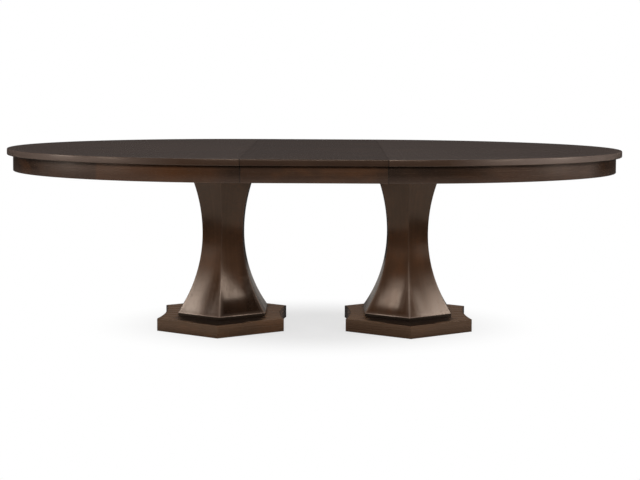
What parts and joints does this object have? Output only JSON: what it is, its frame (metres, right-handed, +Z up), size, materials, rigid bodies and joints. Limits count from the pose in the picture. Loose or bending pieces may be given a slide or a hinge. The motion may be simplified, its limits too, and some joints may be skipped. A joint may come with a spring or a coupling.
{
  "type": "double pedestal dining table",
  "caption": "Oval extension dining table with a drop-in leaf; its geared halves slide on runners over flared six-sided pedestal columns that stand on scooped plinths.",
  "frame": {"origin": "on the floor under the middle of the top", "axes": "+X along the table's length, +Z up, the front that the picture shows looks to -Y"},
  "size_m": [2.605, 1.372, 0.762],
  "materials": {
    "top_veneer": "satin lacquer",
    "apron_veneer": "satin lacquer",
    "pedestal_wood": "satin lacquer",
    "beech": "bare planed wood",
    "zinc_steel": "zinc plated",
    "nylon": "moulded"
  },
  "bodies": {
    "base": {"bearer_left": "beech", "bearer_right": "beech", "bearer_screws_left": "zinc_steel", "bearer_screws_right": "zinc_steel", "collar_left": "pedestal_wood", "collar_right": "pedestal_wood", "column_left_stave_1": "pedestal_wood", "column_left_stave_2": "pedestal_wood", "column_left_stave_3": "pedestal_wood", "column_left_stave_4": "pedestal_wood", "column_left_stave_5": "pedestal_wood", "column_left_stave_6": "pedestal_wood", "column_right_stave_1": "pedestal_wood", "column_right_stave_2": "pedestal_wood", "column_right_stave_3": "pedestal_wood", "column_right_stave_4": "pedestal_wood", "column_right_stave_5": "pedestal_wood", "column_right_stave_6": "pedestal_wood", "floor_glides_left": "nylon", "floor_glides_right": "nylon", "gear_crossbar": "beech", "pinion_axle": "zinc_steel", "plinth_left": "pedestal_wood", "plinth_right": "pedestal_wood", "runner_back": "beech", "runner_front": "beech", "tie_nuts_left": "zinc_steel", "tie_nuts_right": "zinc_steel", "tie_rod_left": "zinc_steel", "tie_rod_right": "zinc_steel"},
    "right_half": {"apron_right": "apron_veneer", "glue_blocks_right": "beech", "latch_plates_right": "zinc_steel", "rack_batten_right": "beech", "rack_right": "beech", "slide_right_back": "beech", "slide_right_front": "beech", "slide_screws_right": "zinc_steel", "top_right": "top_veneer"},
    "left_half": {"apron_left": "apron_veneer", "glue_blocks_left": "beech", "latch_plates_left": "zinc_steel", "rack_batten_left": "beech", "rack_left": "beech", "slide_left_back": "beech", "slide_left_front": "beech", "slide_screws_left": "zinc_steel", "top_left": "top_veneer"},
    "pinion": {"equalizer_pinion": "nylon"},
    "leaf": {"apron_leaf_back": "apron_veneer", "apron_leaf_front": "apron_veneer", "leaf_battens": "beech", "leaf_keepers": "zinc_steel", "top_leaf": "top_veneer"},
    "latch_left_back": {"latch_arm_left_back": "zinc_steel"},
    "latch_left_front": {"latch_arm_left_front": "zinc_steel"},
    "latch_right_back": {"latch_arm_right_back": "zinc_steel"},
    "latch_right_front": {"latch_arm_right_front": "zinc_steel"}
  },
  "joints": [
    {"name": "right_half_slide", "type": "slide", "parent": "base", "child": "right_half", "axis": [1, 0, 0], "range_m": [0, 0.06]},
    {"name": "left_half_slide", "type": "slide", "parent": "base", "child": "left_half", "axis": [-1, 0, 0], "range_m": [0, 0.06]},
    {"name": "pinion_spin", "type": "hinge", "parent": "base", "child": "pinion", "pos_m": [0, 0, 0.7], "axis": [0, 0, 1], "range_deg": [0, 144]},
    {"name": "leaf_lift", "type": "slide", "parent": "base", "child": "leaf", "axis": [0, 0, 1], "range_m": [0, 0.25]},
    {"name": "latch_left_front_turn", "type": "hinge", "parent": "left_half", "child": "latch_left_front", "pos_m": [-0.305, -0.43006, 0.7305], "axis": [0, 0, 1], "range_deg": [0, 90]},
    {"name": "latch_left_back_turn", "type": "hinge", "parent": "left_half", "child": "latch_left_back", "pos_m": [-0.305, 0.43006, 0.7305], "axis": [0, 0, -1], "range_deg": [0, 90]},
    {"name": "latch_right_front_turn", "type": "hinge", "parent": "right_half", "child": "latch_right_front", "pos_m": [0.305, -0.43006, 0.7305], "axis": [0, 0, -1], "range_deg": [0, 90]},
    {"name": "latch_right_back_turn", "type": "hinge", "parent": "right_half", "child": "latch_right_back", "pos_m": [0.305, 0.43006, 0.7305], "axis": [0, 0, 1], "range_deg": [0, 90]}
  ],
  "couplings": [
    {"joint": "left_half_slide", "follows": "right_half_slide", "ratio": 1},
    {"joint": "pinion_spin", "follows": "right_half_slide", "rad_per_m": 41.667}
  ]
}
